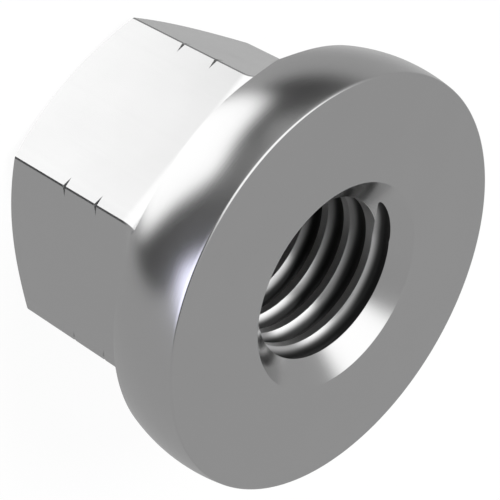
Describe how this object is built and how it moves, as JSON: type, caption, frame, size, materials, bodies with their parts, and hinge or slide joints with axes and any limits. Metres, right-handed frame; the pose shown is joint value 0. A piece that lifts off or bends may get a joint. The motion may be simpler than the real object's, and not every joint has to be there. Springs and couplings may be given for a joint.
{
  "type": "collar nut",
  "caption": "Tall hexagon nut with a wide round collar at one end and a countersunk threaded hole right through.",
  "frame": {"origin": "on the thread's axis at the hexagon's end, the face it stands on", "axes": "+Z along the thread's axis from the hexagon's end to the collar's bearing face, X through two corners of the hexagon"},
  "size_m": [0.0224, 0.0224, 0.015],
  "materials": {
    "steel": "bare steel, finely turned and milled, satin"
  },
  "bodies": {
    "root": {"collar_nut": "steel"}
  },
  "joints": []
}
